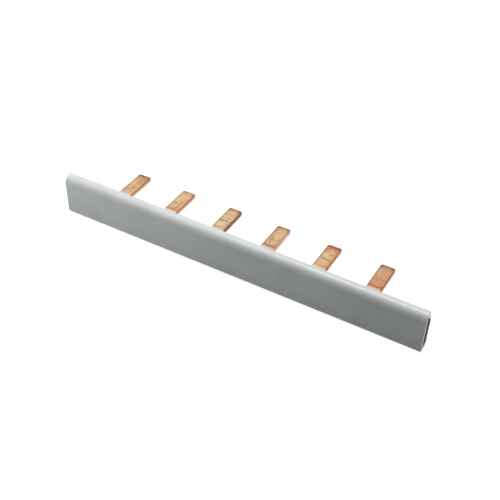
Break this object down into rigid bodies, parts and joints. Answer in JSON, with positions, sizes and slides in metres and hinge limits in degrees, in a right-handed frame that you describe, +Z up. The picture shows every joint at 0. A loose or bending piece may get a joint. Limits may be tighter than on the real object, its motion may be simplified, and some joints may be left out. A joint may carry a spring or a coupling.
{
  "type": "comb bus bar",
  "caption": "Insulated comb bus bar: a grey extruded plastic profile with flat copper tongues that stand out of its back and link a row of devices.",
  "frame": {"origin": "middle of the tongue row, in the profile's back plane, halfway through the copper", "axes": "+X along the bar, +Y the way the tongues point, +Z up, with the lip above the tongues"},
  "size_m": [0.1285, 0.0169, 0.0145],
  "materials": {
    "grey_plastic": "satin",
    "copper": "satin"
  },
  "bodies": {
    "root": {"insulating_profile": "grey_plastic", "copper_comb": "copper"}
  },
  "joints": []
}
